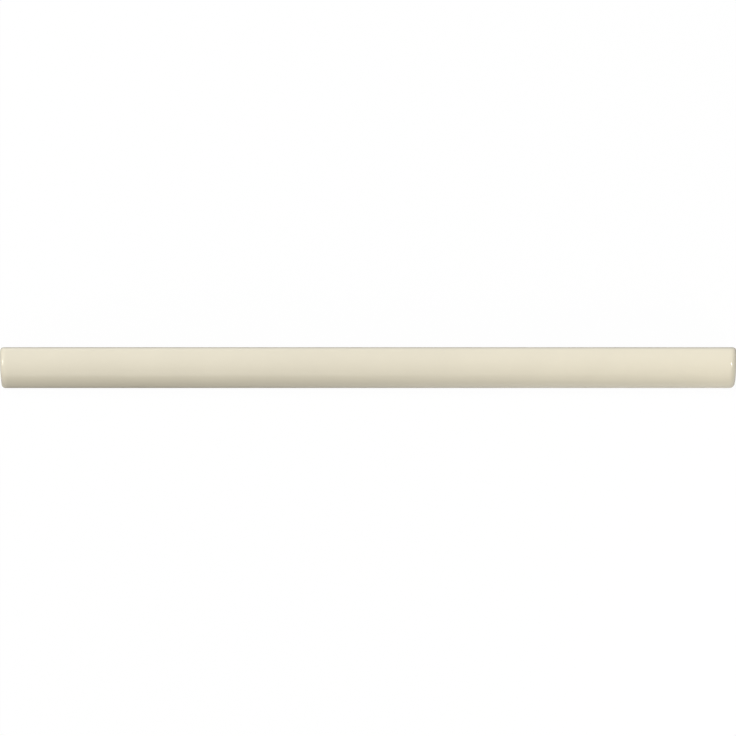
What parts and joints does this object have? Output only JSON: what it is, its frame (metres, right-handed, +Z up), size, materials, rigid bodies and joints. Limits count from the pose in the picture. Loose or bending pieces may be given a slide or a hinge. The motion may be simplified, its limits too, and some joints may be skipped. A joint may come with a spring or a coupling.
{
  "type": "corner trim tile",
  "caption": "Slim glazed quarter-round tile strip that finishes the outer corner or edge of a tiled wall, with two flat keyed beds behind it.",
  "frame": {"origin": "middle of the footprint, on the surface that the strip lies on", "axes": "+X along the strip; +Y out of the upright bed; +Z up, out of the bed that the strip lies on; the quarter-round face looks to -Y and +Z"},
  "size_m": [0.2286, 0.0126, 0.0127],
  "materials": {
    "glaze": "gloss"
  },
  "bodies": {
    "root": {"corner_trim": "glaze"}
  },
  "joints": []
}
